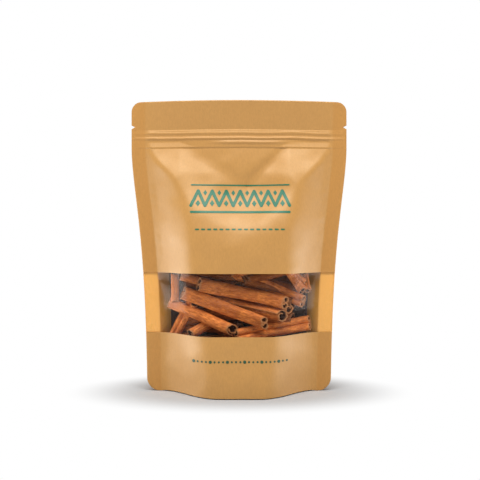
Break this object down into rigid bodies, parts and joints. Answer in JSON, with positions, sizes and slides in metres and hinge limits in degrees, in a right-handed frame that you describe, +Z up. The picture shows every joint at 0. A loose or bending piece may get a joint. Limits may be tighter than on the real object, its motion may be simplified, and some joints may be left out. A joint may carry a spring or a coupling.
{
  "type": "kraft stand-up pouch of cinnamon sticks",
  "caption": "Shut kraft paper stand-up pouch filled with cinnamon sticks, with a zip line under its top seal and a clear window band across the front.",
  "frame": {"origin": "on the ground, at the middle of the pouch's foot", "axes": "+X to the pouch's right as seen from the front, +Y to the back, +Z up through the header"},
  "size_m": [0.18, 0.0842, 0.241],
  "materials": {
    "kraft": "uncoated brown kraft paper with a soft sheen",
    "film": "clear glossy plastic film",
    "bark": "dry rolled bark"
  },
  "bodies": {
    "root": {"pouch": "kraft", "window_film": "film", "cinnamon_sticks": "bark"}
  },
  "joints": []
}
